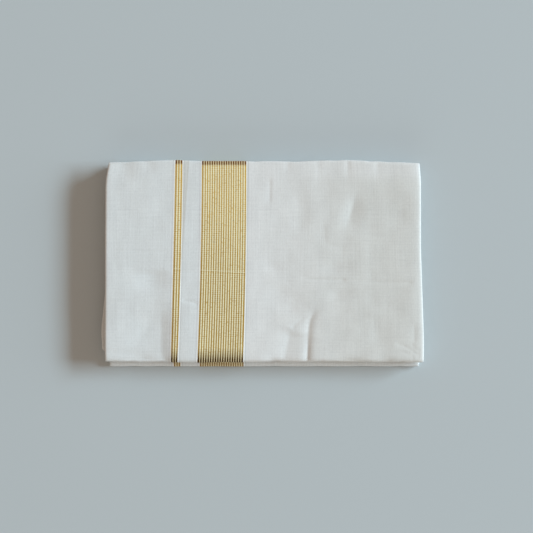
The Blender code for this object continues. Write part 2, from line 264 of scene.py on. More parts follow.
zari = {
    "cordPitch": 2.38, "edgeWidth": 0.95,
    "cordHeight": 0.12, "cordPower": 0.7, "raisedFacing": (-0.8, -0.2),
    "beadPitch": 1.6, "beadShift": 1.3, "beadShare": 0.25,
    "wander": Noise(5.3, 0.25, 0.0, 2.0, 0.5), "wanderShare": 0.5,
    "creamColour": colour(1.000, 0.935, 0.655), "creamRidge": (0.55, 0.90), "creamShare": 0.90,
    "dashes": Noise(3.7, 0.62, 0.0, 2.0, 0.6), "dashRange": (0.22, 0.50), "dashFloor": 0.25,
    "patches": Noise(0.10, 0.03, 2.0, 2.0, 0.5), "patchRange": (0.40, 0.62), "patchShare": 0.25,
    "pickPitch": 1.05, "pickShare": 0.22,
    "goldColour": colour(0.680, 0.420, 0.110),
    "lowerGoldColour": colour(0.500, 0.290, 0.055), "lowerReach": (-85.0, 35.0),
    "speckleColour": colour(0.330, 0.210, 0.060),
    "gaps": Noise(5.1, 0.55, 9.0, 2.0, 0.6), "gapRange": (0.28, 0.42), "gapShare": 0.7,
    # Round the rolls, painted shade of the metallic gold: a deeper tint for the threads, dark brown between
    # the crests, redder at the hem
    "rolledColour": colour(0.800, 0.600, 0.290), "rolledShare": 0.45,
    "rollShadeColour": colour(0.076, 0.032, 0.004), "rollShadeRidge": (0.76, 0.96), "rollShadeRidgeShare": 0.94,
    "hemRollShadeColour": colour(0.210, 0.085, 0.025),
    "frontLevel": (7.0, 9.0), "frontHalf": (-20.0, 20.0), "topLevel": (14.0, 16.0),
    "pressPlace": -10.2, "pressSlant": -0.052,
    # The press line's painted highlight row and its share, then its painted shade row and its share
    "lightRow": ((-0.3, 0.2), (0.9, 1.4)), "pressHighlightShare": 0.52,
    "pressShadeRow": ((-1.9, -1.3), (-0.5, 0.0)), "pressShadeShare": 0.20,
    "ridgeHeight": 0.5, "dashHeight": 0.9, "bumpHeight": 0.10, "bumpStrength": 0.6,
    "roughness": 0.70, "roughnessRange": 0.2,
    "finish": {"Metallic": 0.10, "Specular IOR Level": 0.12},
}


def zariMaterial(name):
    g = zari
    material, recipe, shader = newMaterial(name, g["finish"])
    across, along = recipe.weave()
    x, y, z = recipe.place()
    # The share of painted shade round the rolls
    rollShade = recipe.attribute("rollShade")

    # A press line crosses the top of the bands, as a painted highlight row of threads above a row of painted
    # shade
    onTop = z.smooth(*g["topLevel"])
    pressed = (y - g["pressPlace"] - x * g["pressSlant"]) * onTop
    lightRow = pressed.band(*g["lightRow"])
    pressShadeRow = pressed.band(*g["pressShadeRow"]) * onTop

    cord = across / g["cordPitch"]
    ridge = (cord * math.pi).sine().absolute()
    dashes = recipe.woven(cord.floor(), along, g["dashes"])
    gaps = recipe.woven((cord + 0.5).floor(), along, g["gaps"])
    patches = recipe.woven(across, along, g["patches"])
    dashed = g["dashFloor"] + dashes.smooth(*g["dashRange"]) * (1 - g["dashFloor"])
    cream = ridge.smooth(*g["creamRidge"]) * dashed * (g["creamShare"] + patches * g["patchShare"])
    picks = (along * (math.pi / g["pickPitch"])).sine() * patches.smooth(*g["patchRange"]) * g["pickShare"]
    share = cream + picks + lightRow * patches * g["pressHighlightShare"] - pressShadeRow * g["pressShadeShare"]
    lower = (y * -1.0).smooth(*g["lowerReach"])
    gold = recipe.mixColour(lower, g["goldColour"], g["lowerGoldColour"])
    speckled = recipe.mixColour((1.0 - gaps.smooth(*g["gapRange"])) * g["gapShare"], gold, g["speckleColour"])
    threads = recipe.mixColour(share, speckled, g["creamColour"])

    # Round the rolls the metallic gold gets painted shade: dark brown between the cream crests, redder at the
    # hem and the under edge, with the threads tinted deeper
    rollShaded = rollShade * (1.0 - ridge.smooth(*g["rollShadeRidge"]) * g["rollShadeRidgeShare"])
    reddish = 1.0 - z.smooth(*g["frontLevel"]) * (1.0 - y.smooth(*g["frontHalf"]))
    brown = recipe.mixColour(reddish, g["rollShadeColour"], g["hemRollShadeColour"])
    rolled = recipe.mixColour(rollShade * g["rolledShare"], threads, g["rolledColour"])
    recipe.join(shader.inputs["Base Color"], recipe.mixColour(rollShaded, rolled, brown))
    height = ridge * g["ridgeHeight"] + dashes * g["dashHeight"]
    recipe.bump(shader, height, g["bumpHeight"], g["bumpStrength"])
    recipe.join(shader.inputs["Roughness"], g["roughness"] + (dashes - 0.5) * g["roughnessRange"])
    return material


leftCotton = cottonMaterial("left cotton", cotton["leftColour"])
# The gap and selvedge carry the ply below's gold seen through, with painted shade beside the bands
gapCotton = cottonMaterial("gap cotton", cotton["leftColour"], None, True)
# The top's right stretch, with painted shade towards its fold
rightShadedCotton = cottonMaterial("right cotton with painted shade", cotton["middleColour"], cotton["rightShadeColour"])
foldCotton = cottonMaterial("fold cotton", cotton["foldColour"])
# A darker copy of the fold cotton for the right side, painted shade
rightShadedFoldCotton = cottonMaterial("right fold cotton with painted shade", cotton["rightFoldShadeColour"])
goldZari = zariMaterial("gold zari")
print("materials ready")


# The folded form, in millimetres

Fold = namedtuple("Fold", "tip reach low high facing rows squareness")

stackHeight = topHigh[2]
frontLead = 1.4  # how far the front roll stands out beyond its solid, to meet the photo's outline
edgeLead = 0.2   # the same for the under edge

folds = {
    "front": Fold(topLow[1] - frontLead, 8.0, topLow[2], stackHeight, -1, 40, 3.6),
    "hem": Fold(102.6, 4.2, 15.3, stackHeight, 1, 22, 2.8),
    "edge": Fold(underLow[1] - edgeLead, 4.5, 0.0, 6.45, -1, 20, 2.4),
    "back": Fold(underHigh[1], 8.5, 0.0, underHigh[2], 1, 26, 2.2),
    "end": Fold(100.8, 1.6, 13.4, 15.1, 1, 12, 2.0),
}

# Where the turns' ends lie inside the stack, and the steps between rows on straight runs
runs = {
    "frontTuck": -80.0, "hemTuck": 92.0,
    "edgeTuck": -85.0, "backTuck": 85.0, "endTuck": 88.0,
    "topStep": 1.1, "tuckStep": 2.0, "underStep": 4.0,
}

# Where the painted shade of the bands' metallic gold lies round the rolls
rollShading = {
    "frontStart": 14.4, "frontReach": 11.0,
    "hemBefore": 0.6, "hemAfter": 1.0,
    "edgeStart": 6.0, "edgeReach": 4.0, "edgeShare": 0.6,
}

sideLines = {
    "y": (-104.0, -76.0, -36.0, 14.0, 84.0, 104.0),
    "left": (-157.6, -158.0, -157.6, -157.6, -157.2, -153.6),
    "right": (161.2, 161.5, 160.2, 158.5, 158.5, 156.9),
    "rounding": 7.0,
}

hemLine = {
    "x": (-158.0, -122.0, -95.0, -72.0, -60.0, 37.0, 84.0, 137.0, 158.0),
    "y": (101.2, 102.6, 103.6, 103.6, 102.6, 102.6, 103.8, 101.6, 100.6),
    "rounding": 5.0,
}

# Each line along the bands: its place at mid length, its slant and how far it bows out there
topLines = {
    "stripeLeft": (-89.5, 0.0230, 0.2),
    "stripeRight": (-82.7, 0.0255, 0.6),
    "borderLeft": (-62.9, 0.0235, 0.9),
    "borderRight": (-17.9, 0.0165, 0.7),
    "selvedgeRight": (-15.6, 0.0165, 0.7),
}

underSlant = 0.006
underLines = {name: (place, underSlant, 0.0)
              for name, place in zip(topLines, (-89.0, -82.4, -62.8, -18.6, -16.4))}

underInset = 3.4
bowHalfLength = 95.0


def softTable(place, table, places, values):
    # Two columns of a table, read in straight runs with rounded corners
    shifts = np.linspace(-table["rounding"], table["rounding"], 7)
    return sum(np.interp(place + shift, table[places], table[values]) for shift in shifts) / len(shifts)


def softStep(value, low, high):
    share = np.clip((value - low) / (high - low), 0, 1)
    return (3 - 2 * share) * share**2


def sideX(side, y):
    return softTable(y, sideLines, "y", side)


def foldRows(fold):
    # Rows round a fold from its low side to its high one
    angle = np.linspace(-math.pi / 2, math.pi / 2, fold.rows)
    power = 2.0 / fold.squareness
    y = fold.tip - fold.facing * fold.reach * (1 - np.cos(angle) ** power)
    rise = np.sign(np.sin(angle)) * np.abs(np.sin(angle)) ** power
    z = (fold.low + fold.high) / 2 + (fold.high - fold.low) / 2 * rise
    return np.stack([y, z], 1)


def straightRows(start, end, z, step):
    count = max(2, int(abs(end - start) / step) + 1)
    y = np.linspace(start, end, count)
    return np.stack([y, np.full(count, float(z))], 1)


def joinRows(*parts):
    rows = [parts[0]]
    for part in parts[1:]:
        rows.append(part[1:])
    return np.concatenate(rows)


def rowFacts(rows, turn, rollShaded):
    # Outward direction, length so far and the share of painted shade on the gold, for each row of a section
    # line
    tangent = np.gradient(rows, axis=0)
    size = np.linalg.norm(tangent, axis=1)
    normal = np.stack([-tangent[:, 1], tangent[:, 0]], 1) * turn / size[:, None]
    step = np.linalg.norm(np.diff(rows, axis=0), axis=1)
    length = np.concatenate([[0.0], np.cumsum(step)])
    return {"rows": rows, "normal": normal, "length": length, "rollShade": rollShaded(rows[:, 0])}


# Painted shade of the top's gold: round the hem roll and in from the front roll
def topRollShade(y):
    b = rollShading
    hemStart = folds["hem"].tip - folds["hem"].reach
    back = softStep(y, hemStart - b["hemBefore"], hemStart + b["hemAfter"])
    front = np.clip((folds["front"].tip + b["frontStart"] - y) / b["frontReach"], 0, 1)
    return np.maximum(back, front)


# Painted shade of the under turn's gold, in from its front edge
def underRollShade(y):
    b = rollShading
    return np.clip((folds["edge"].tip + b["edgeStart"] - y) / b["edgeReach"], 0, 1) * b["edgeShare"]


def sectionLine(start, rolls, end, middleStep, turn, rollShaded):
    # A run from inside the stack to the first roll, the rolls with runs between them, and a run back in
    parts = [straightRows(start, rolls[0][0][0], rolls[0][0][1], runs["tuckStep"])]
    for roll, following in zip(rolls, rolls[1:]):
        parts += [roll, straightRows(roll[-1][0], following[0][0], roll[-1][1], middleStep)]
    last = rolls[-1]
    parts += [last, straightRows(last[-1][0], end, last[-1][1], runs["tuckStep"])]
    return rowFacts(joinRows(*parts), turn, rollShaded)


def topLine():
    rolls = [foldRows(folds["front"]), foldRows(folds["hem"])[::-1]]
    return sectionLine(runs["frontTuck"], rolls, runs["hemTuck"], runs["topStep"], 1, topRollShade)


def underLine():
    rolls = [foldRows(folds["edge"])[::-1], foldRows(folds["back"])]
    return sectionLine(runs["edgeTuck"], rolls, runs["backTuck"], runs["underStep"], -1, underRollShade)


def endLine():
    rolls = [foldRows(folds["end"])]
    return sectionLine(runs["endTuck"], rolls, runs["hemTuck"], runs["tuckStep"], -1, underRollShade)


# Creases pressed into the top, as valleys. Each bank has its own width, and each end its own fade.

Crease = namedtuple("Crease", "points depth left right start end power")

creases = {
    "long crease from the front fold": Crease(
        ((44.6, -100.0), (45.4, -84.0), (46.0, -69.4), (47.8, -56.4), (53.0, -49.0), (61.0, -46.4)),
        1.00, 5.0, 3.8, 0.0, 22.0, 1.3),
    "second crease from the front fold": Crease(
        ((21.6, -98.0), (24.4, -84.0), (27.0, -70.4), (28.6, -64.4)), 1.00, 8.5, 15.0, 0.0, 9.0, 1.3),
    "its slanting branch": Crease(
        ((28.2, -65.8), (33.4, -60.4), (40.0, -55.0), (44.4, -51.0)), 0.34, 4.0, 2.6, 4.0, 9.0, 1.3),
    "sharp foot of the long crease": Crease(
        ((44.2, -100.0), (45.0, -86.0), (45.8, -72.0)), 0.40, 2.2, 1.8, 0.0, 18.0, 1.3),
    "slanting hollow above it": Crease(
        ((34.0, -25.0), (26.0, -42.0), (20.0, -54.0)), 0.42, 26.0, 9.5, 13.0, 15.0, 2.0),
    "sharp dent of the right half": Crease(
        ((97.4, 81.0), (94.0, 67.0), (89.8, 54.0), (86.2, 42.0), (81.0, 28.0)),
        1.40, 7.0, 14.0, 31.0, 25.0, 1.5),
    "fine streak near the border": Crease(
        ((7.4, 88.0), (7.4, 74.0), (6.8, 58.0)), 0.26, 4.0, 1.5, 8.0, 8.0, 1.3),
    "hooked line": Crease(
        ((61.6, 50.0), (62.4, 28.0), (66.6, 18.8), (84.4, 15.6)), 0.20, 8.0, 2.6, 20.0, 5.0, 1.3),
    "hollow right of the hook": Crease(((70.0, 4.0), (73.0, -12.0)), 0.40, 11.0, 14.0, 6.0, 6.0, 2.0),
    "hollow below it": Crease(((73.0, -23.0), (77.0, -40.0)), 0.45, 9.0, 14.0, 6.0, 8.0, 2.0),
    "soft column": Crease(((36.0, 86.0), (37.4, 62.0), (38.0, 24.0)), 0.34, 9.0, 9.0, 20.0, 20.0, 2.0),
    "small hollow near the border": Crease(((9.0, 6.0), (9.4, -12.0)), 0.34, 8.0, 7.0, 8.0, 8.0, 2.0),
    "hollow by the right fold": Crease(((137.0, 76.0), (139.6, 30.0)), 0.62, 22.0, 14.0, 20.0, 20.0, 2.0),
    "long tone line": Crease(
        ((111.0, 84.0), (110.8, 20.0), (111.2, -52.0)), 0.34, 8.0, 16.0, 20.0, 14.0, 2.0),
    "lower tone line": Crease(((113.0, -50.0), (114.0, -86.0)), 0.28, 6.0, 10.0, 8.0, 10.0, 2.0),
    "line beside the right fold": Crease(((151.6, -58.0), (152.4, -82.0)), 0.26, 3.5, 2.4, 9.0, 6.0, 1.3),
    "press line of the gap": Crease(
        ((-81.0, -36.6), (-74.0, -37.6), (-64.0, -40.2)), 0.36, 1.2, 1.6, 2.0, 2.0, 1.3),
    "press line of the bands": Crease(
        ((-92.0, -7.6), (-40.0, -9.6), (-16.6, -11.0)), 0.19, 1.1, 1.4, 3.0, 3.0, 1.3),
    "press line of the left part": Crease(((-157.0, 12.8), (-92.0, 11.6)), 0.10, 1.2, 1.4, 4.0, 4.0, 1.3),
    "press line of the middle": Crease(
        ((34.0, -15.0), (62.0, -15.8), (84.0, -16.4)), 0.34, 1.4, 1.8, 18.0, 3.0, 1.3),
    "press line of the right part": Crease(
        ((86.0, -17.2), (114.0, -18.6), (132.0, -18.8), (152.0, -19.0)), 0.34, 1.4, 1.8, 34.0, 5.0, 1.3),
    "hollow beside the stripe": Crease(((-108.6, -4.0), (-108.6, -32.0)), 1.00, 19.0, 13.0, 8.0, 14.0, 2.0),
    "trough beside the stripe": Crease(
        ((-101.4, -34.0), (-102.2, -70.0), (-101.6, -98.0)), 1.60, 60.0, 9.0, 30.0, 0.0, 1.6),
    "hollow of the left part's front": Crease(
        ((-132.0, -82.0), (-132.0, -99.0)), 0.80, 34.0, 12.0, 9.0, 0.0, 2.0),
    "wrinkle into the right corner": Crease(
        ((131.4, -80.4), (143.0, -83.4), (158.0, -93.5)), 0.30, 2.6, 2.0, 6.0, 2.0, 1.3),
    "second wrinkle of the corner": Crease(
        ((128.0, -90.0), (140.0, -88.0), (152.0, -95.0)), 0.20, 2.0, 2.0, 6.0, 2.0, 1.3),
    "third wrinkle of the corner": Crease(
        ((147.0, -78.0), (153.0, -85.0), (158.5, -88.0)), 0.22, 1.6, 1.6, 5.0, 2.0, 1.3),
    "hollow of the left corner": Crease(
        ((-142.0, 104.0), (-139.0, 78.0)), 1.10, 26.0, 12.0, 0.0, 18.0, 2.0),
    "second hollow of the left corner": Crease(
        ((-118.0, 104.0), (-116.0, 86.0)), 0.60, 18.0, 8.5, 0.0, 14.0, 2.0),
}

# Shallow places where the edge of the top sinks, deepest along y and fading over a reach
edgeDips = {
    "front": {"y": -98.0, "reach": 6.0,
              "x": (-120.0, -97.0, 9.0, 85.0, 124.0),
              "length": (8.0, 5.0, 8.0, 14.0, 7.0),
              "depth": (0.70, 0.60, 0.90, 1.20, 0.60)},
    "back": {"y": 102.0, "reach": 12.0,
             "x": (-136.0, -112.0, 25.0, 56.0, 85.0, 115.0, -30.0),
             "length": (9.0, 7.0, 3.0, 3.5, 3.0, 3.0, 4.0),
             "depth": (0.25, 0.18, 0.20, 0.24, 0.30, 0.22, 0.15)},
}

# Shallow puckers round the front and back rolls
rollPuckers = {
    "front": {"x": (-131.0, -104.0, -44.0, 12.0, 58.0, 101.0, 139.0),
              "length": (5.0, 9.0, 12.0, 6.0, 4.0, 8.0, 4.0),
              "depth": (0.40, 0.30, 0.25, 0.45, 0.30, 0.45, 0.35)},
    "back": {"x": (-136.0, -117.0, -72.0, -8.0, 33.0, 74.0, 108.0, 126.0),
             "length": (6.0, 4.0, 9.0, 5.0, 11.0, 5.0, 4.0, 8.0),
             "depth": (0.45, 0.30, 0.35, 0.40, 0.50, 0.35, 0.45, 0.30)},
}

# The top's level across the width
levelLine = {
    "x": (-158.0, -140.0, -110.0, -60.0, -19.0, -14.0, 20.0, 60.0, 110.0, 150.0, 162.0),
    "z": (-0.15, -0.40, -0.60, -0.65, -0.60, -0.62, -1.25, -1.30, -0.90, -0.30, -0.30),
    "rounding": 9.0,
}

surface = {
    "endY": 101.0, "endSlope": 45.0, "endShare": 0.35,
    "hemSlope": 0.35, "hemFrom": 84.0, "hemTo": 100.0,
    "waveSeed": 3, "waveCount": 44, "waveSlope": 0.012,
    "wavePitch": 9.0, "wavePitchRange": 9.0, "waveTurn": 0.45,
    "waveEdge": 158.0, "waveFade": 12.0, "waveEdgeShare": 0.3,
    "rightRoll": 0.90, "rightRollReach": 3.8,
    "leftRoll": 0.30, "leftRollReach": 1.6, "rollLimit": 60.0,
    "dipPower": 1.5,
    "creasePoints": 6, "creaseReach": 3.5,
}


def smoothPoints(points, count):
    # More points on a smooth curve through a few
    points = np.array(points, float)
    if len(points) == 2:
        share = np.linspace(0, 1, count)[:, None]
        return points[0] * (1 - share) + points[1] * share
    padded = np.concatenate([[2 * points[0] - points[1]], points, [2 * points[-1] - points[-2]]])
    made = []
    for index in range(len(points) - 1):
        a, b, c, d = padded[index:index + 4]
        for t in np.linspace(0, 1, count, endpoint=False):
            made.append(0.5 * (2 * b + (c - a) * t + (2 * a - 5 * b + 4 * c - d) * t**2
                               + (3 * b - a - 3 * c + d) * t**3))
    made.append(points[-1])
    return np.array(made)


def creaseRelief(x, y, crease):
    # How far one crease lowers each point
    line = smoothPoints(crease.points, surface["creasePoints"])
    steps = np.linalg.norm(np.diff(line, axis=0), axis=1)
    lengths = np.concatenate([[0.0], np.cumsum(steps)])
    reach = surface["creaseReach"] * max(crease.left, crease.right)
    near = ((x > line[:, 0].min() - reach) & (x < line[:, 0].max() + reach)
            & (y > line[:, 1].min() - reach) & (y < line[:, 1].max() + reach))
    result = np.zeros(x.shape)
    if not near.any():
        return result
    px, py = x[near], y[near]
    away = np.full(px.shape, math.inf)
    side = np.zeros(px.shape)
    place = np.zeros(px.shape)
    ends = line[-1] - line[0]
    facing = np.sign(ends[0]) if abs(ends[0]) > abs(ends[1]) else np.sign(ends[1])
    for start, end, step, length in zip(line, line[1:], steps, lengths):
        run = (end - start) / step
        along = np.clip((px - start[0]) * run[0] + (py - start[1]) * run[1], 0, step)
        offX = px - start[0] - along * run[0]
        offY = py - start[1] - along * run[1]
        distance = np.hypot(offX, offY)
        closer = distance < away
        away = np.where(closer, distance, away)
        side = np.where(closer, (run[0] * offY - run[1] * offX) * facing, side)
        place = np.where(closer, length + along, place)
    width = np.where(side > 0, crease.left, crease.right)
    fade = np.ones(px.shape)
    if crease.start:
        fade = fade * softStep(place, 0, crease.start)
    if crease.end:
        fade = fade * softStep(lengths[-1] - place, 0, crease.end)
    result[near] = crease.depth * fade * np.exp(-(away / width) ** crease.power)
    return result


def waves(x, y):
    # Soft undulations of cloth that was pressed by hand, mostly along its length
    s = surface
    random = np.random.default_rng(s["waveSeed"])
    total = np.zeros(x.shape)
    for _ in range(s["waveCount"]):
        pitch = s["wavePitch"] * s["wavePitchRange"] ** random.uniform()
        angle = random.normal(0.0, s["waveTurn"])
        phase = random.uniform(0, 2 * math.pi)
        turns = (x * math.cos(angle) + y * math.sin(angle)) * 2 * math.pi / pitch + phase
        total += pitch / (2 * math.pi) * np.sin(turns)
    return total * s["waveSlope"] * math.sqrt(2 / s["waveCount"])


def hollowed(x, table):
    return sum(depth * np.exp(-((x - place) / length) ** 2)
               for place, length, depth in zip(table["x"], table["length"], table["depth"]))


def dips(x, y, table):
    return hollowed(x, table) * np.exp(-(np.abs(table["y"] - y) / table["reach"]) ** surface["dipPower"])


def rollRelief(x, facing):
    # How far the puckers draw in the rolls, which face along the length
    return (hollowed(x, rollPuckers["front"]) * np.clip(-facing, 0, 1) ** 2
            + hollowed(x, rollPuckers["back"]) * np.clip(facing, 0, 1) ** 2)


def topRelief(x, y):
    # Height of the top face against the flat stack
    s = surface
    along = np.clip((s["endY"] - np.abs(y)) / s["endSlope"], 0, 1)
    level = softTable(x, levelLine, "x", "z")
    relief = level * (s["endShare"] + (1 - s["endShare"]) * np.sin(along * math.pi / 2))
    relief -= s["hemSlope"] * softStep(y, s["hemFrom"], s["hemTo"])
    edge = np.clip((s["waveEdge"] - np.abs(x)) / s["waveFade"], 0, 1)
    relief += waves(x, y) * (s["waveEdgeShare"] + (1 - s["waveEdgeShare"]) * edge)
    for side, off in (("right", sideX("right", y) - x), ("left", x - sideX("left", y))):
        relief -= s[side + "Roll"] * np.exp(-np.clip(off, 0, s["rollLimit"]) / s[side + "RollReach"])
    for table in edgeDips.values():
        relief -= dips(x, y, table)
    for crease in creases.values():
        relief -= creaseRelief(x, y, crease)
    return relief


def nothing(x, y):
    return np.zeros(np.broadcast(x, y).shape)


# Columns across the width: where each stands, how deep it lies and how far across the weave it is

weaving = {
    "plainStep": 1.1, "underStep": 4.0, "gapStep": 2.0, "selvedgeStep": 0.55,
    "leftStart": 1.0, "leftWidth": 66.0,
    "gapWidth": 20.9, "selvedgeWidth": 2.2,
    "rightWidth": 174.0, "rightEnd": 176.0,
    "stripeCords": 2, "borderCords": 18, "cordSteps": 8,
    "noseThickness": 1.5, "leftNoseReach": 2.2, "rightNoseReach": 3.0,
    "noseTuck": 7.0, "noseRows": 15, "nosePower": 0.8,
    "bandRise": 0.07, "bandRiseReach": 0.9, "bandRisePower": 1.2,
    "bandRiseShares": (0.0, 0.35, 0.7), "bandRiseFacing": -0.3,
    "farFromBand": 9.0,
}


def column(line, depth=0.0, across=0.0, rise=0.0):
    return {"line": line, "depth": depth, "across": across, "rise": rise, "beside": weaving["farFromBand"]}


def bandLine(place, slant, bow):
    return lambda y: place + slant * y + bow * (1 - (y / bowHalfLength) ** 2)


def sideLine(side, inset, inward=0.0):
    sign = 1 if side == "left" else -1
    return lambda y: sideX(side, y) + sign * (inset + inward)


def between(first, second, share):
    return lambda y: first(y) * (1 - share) + second(y) * share


def nudged(item, shift, across):
    return column(lambda y: item["line"](y) + shift, item["depth"], across + shift)


def noseColumns(side, inset, across):
    # The side fold: from the underside of the ply round to its top face
    w = weaving
    thickness = w["noseThickness"]
    columns = [column(sideLine(side, inset, w["noseTuck"]), thickness, across)]
    for angle in np.linspace(math.pi, 0, w["noseRows"]):
        inward = w[side + "NoseReach"] * (1 - math.sin(angle) ** w["nosePower"])
        depth = thickness / 2 * (1 - math.cos(angle))
        columns.append(column(sideLine(side, inset, inward), depth, across))
    return columns


def plainColumns(first, second, width, step, across=0.0):
    count = max(2, int(round(width / step)))
    return [column(between(first, second, index / count), 0.0, across + width * index / count)
            for index in range(count + 1)]


def bandColumns(first, second, cords):
    # Columns across a band: its cream cords, with a wider run of gold at either edge
    count = (cords + 1) * weaving["cordSteps"]
    cordWidth = cords * zari["cordPitch"]
    width = cordWidth + 2 * zari["edgeWidth"]
    return [column(between(first, second, index / count), 0.0,
                   min(max(width * index / count - zari["edgeWidth"], 0.0), cordWidth), weaving["bandRise"])
            for index in range(count + 1)]


def besideBand(columns, atStart, atEnd):
    # Plain cloth rises to a band over its last millimetre, and each column knows how far off the band is
    w = weaving
    reach, far = w["bandRiseReach"], w["farFromBand"]
    first, last = columns[0]["across"], columns[-1]["across"]
    made = []
    for share in w["bandRiseShares"]:
        if atStart:
            made.append(nudged(columns[0], share * reach, first))
        if atEnd:
            made.append(nudged(columns[-1], -share * reach, last))
    lowest = first + reach if atStart else -math.inf
    highest = last - reach if atEnd else math.inf
    inner = [item for item in columns if lowest < item["across"] < highest]
    columns = sorted(inner + made, key=lambda item: item["across"])
    for item in columns:
        fromStart = item["across"] - first if atStart else far
        fromEnd = last - item["across"] if atEnd else far
        item["beside"] = min(fromStart, fromEnd, far)
        item["rise"] = w["bandRise"] * max(0.0, 1 - item["beside"] / reach) ** w["bandRisePower"]
    return columns


def buildSheet(name, line, columns, relief, material, shift):
    # A grid of columns and rows, bent along the section line
    rows, normal = line["rows"], line["normal"]
    x = np.array([item["line"](rows[:, 0]) for item in columns])

    def perColumn(word):
        return np.array([item[word] for item in columns])[:, None] + np.zeros_like(x)

    def perRow(values):
        return values[None, :] + np.zeros_like(x)

    baseY = rows[:, 0][None, :]
    y = baseY + shift(x, baseY)
    raised = normal[:, 1] > weaving["bandRiseFacing"]
    lift = relief(x, y) * np.clip(normal[:, 1], 0, 1)[None, :]
    lift = lift + perColumn("rise") * raised[None, :] - perColumn("depth")
    lift = lift - rollRelief(x, normal[:, 0][None, :])
    points = np.stack([
        x,
        y + normal[:, 0][None, :] * lift,
        rows[:, 1][None, :] + normal[:, 1][None, :] * lift], 2) * mm
    # Each row's share of painted shade round the rolls goes to the gold
    marks = {"rollShade": perRow(line["rollShade"]), "beside": perColumn("beside")}
    return gridPiece(name, points, perColumn("across"), perRow(line["length"]), marks, material)


def gridPiece(name, points, across, along, marks, material, closed=False):
    wide, tall = points.shape[:2]
    mesh = bpy.data.meshes.new(name)
    index = np.arange(wide * tall).reshape(wide, tall)
    if closed:
        index = np.concatenate([index, index[:, :1]], 1)
    faces = np.stack([index[:-1, :-1], index[1:, :-1], index[1:, 1:], index[:-1, 1:]], 2).reshape(-1, 4)
    mesh.from_pydata(points.reshape(-1, 3).tolist(), [], faces.tolist())
    uv = mesh.uv_layers.new(name="weave")
    loops = np.zeros(len(mesh.loops), np.int32)
    mesh.loops.foreach_get("vertex_index", loops)
    flat = np.stack([across.reshape(-1)[loops], along.reshape(-1)[loops]], 1)
    uv.data.foreach_set("uv", flat.reshape(-1).astype(np.float32))
    for word, values in {**marks, "across": across, "along": along}.items():
        mark = mesh.attributes.new(word, "FLOAT", "POINT")
        mark.data.foreach_set("value", values.reshape(-1).astype(np.float32))
    mesh.materials.append(material)
    mesh.shade_smooth()
    piece = bpy.data.objects.new(name, mesh)
    bpy.context.scene.collection.objects.link(piece)
    return piece


def flipFaces(piece):
    piece.data.flip_normals()
    return piece


# Cords: a geometry tree raises them over a band, with a bead for each turn of the gold thread

def cordTree(material):
    g = zari
    tree = bpy.data.node_groups.new("raised cords", "GeometryNodeTree")
    tree.interface.new_socket("Geometry", in_out="INPUT", socket_type="NodeSocketGeometry")
    for name in ("Cord Pitch", "Cord Height", "Bead Pitch", "Bead Share"):
        tree.interface.new_socket(name, in_out="INPUT", socket_type="NodeSocketFloat")
    tree.interface.new_socket("Geometry", in_out="OUTPUT", socket_type="NodeSocketGeometry")
    recipe = Recipe(tree)
    start = recipe.node("NodeGroupInput")
    across = recipe.node("GeometryNodeInputNamedAttribute", {"data_type": "FLOAT"}, {"Name": "across"})
    along = recipe.node("GeometryNodeInputNamedAttribute", {"data_type": "FLOAT"}, {"Name": "along"})
    normal = recipe.node("GeometryNodeInputNormal")
    cord = across / start.other("Cord Pitch")
    ridge = (cord * math.pi).sine().absolute()
    wander = recipe.woven(cord.floor(), along, g["wander"])
    beads = (along * math.pi / start.other("Bead Pitch") + cord.floor() * g["beadShift"]).sine().absolute()
    beaded = (beads - 0.5) * start.other("Bead Share") + (wander - 0.5) * g["wanderShare"]
    upward = recipe.split(normal).other("Z").smooth(*g["raisedFacing"])
    height = ridge ** g["cordPower"] * (1.0 + beaded) * upward * start.other("Cord Height") * mm
    offset = recipe.node("ShaderNodeVectorMath", {"operation": "SCALE"}, {0: normal, "Scale": height})
    moved = recipe.node("GeometryNodeSetPosition", None, {"Geometry": start, "Offset": offset})
    real = recipe.node("GeometryNodeRealizeInstances", None, {0: moved})
    painted = recipe.node("GeometryNodeSetMaterial", None, {"Geometry": real, "Material": material})
    end = recipe.node("NodeGroupOutput")
    tree.links.new(painted.socket, end.inputs["Geometry"])
    return tree


def raiseCords(piece, tree):
    # The tree's result becomes the piece's own plain mesh
    modifier = piece.modifiers.new("cords", "NODES")
    modifier.node_group = tree
    settings = {"Cord Pitch": zari["cordPitch"], "Cord Height": zari["cordHeight"],
                "Bead Pitch": zari["beadPitch"], "Bead Share": zari["beadShare"]}
    for item in tree.interface.items_tree:
        if item.item_type == "SOCKET" and item.in_out == "INPUT" and item.name in settings:
            modifier[item.identifier] = settings[item.name]
    evaluated = piece.evaluated_get(bpy.context.evaluated_depsgraph_get())
    plain = bpy.data.meshes.new_from_object(evaluated)
    piece.modifiers.clear()
    piece.data = plain


# The stretches of cloth, side by side on one turn of the stack

# How the ends of the top wander: where this starts, over what reach, and the front edge's two waves
wandering = {
    "hemFrom": 70.0, "hemReach": 30.0,
    "frontFrom": -75.0, "frontReach": 20.0,
    "longWave": 31.0, "longPhase": 0.5, "longDepth": 0.35,
    "shortWave": 9.0, "shortDepth": 0.2,
}


def hemShift(x, y):
    # The back hem isn't quite straight, so the rows near it follow its line
    near = np.clip((y - wandering["hemFrom"]) / wandering["hemReach"], 0, 1)
    return (softTable(x, hemLine, "x", "y") - folds["hem"].tip) * near


def topShift(x, y):
    w = wandering
    near = np.clip((w["frontFrom"] - y) / w["frontReach"], 0, 1)
    front = (w["longDepth"] * np.sin(x / w["longWave"] + w["longPhase"])
             + w["shortDepth"] * np.sin(x / w["shortWave"])) * near
    return hemShift(x, y) + front


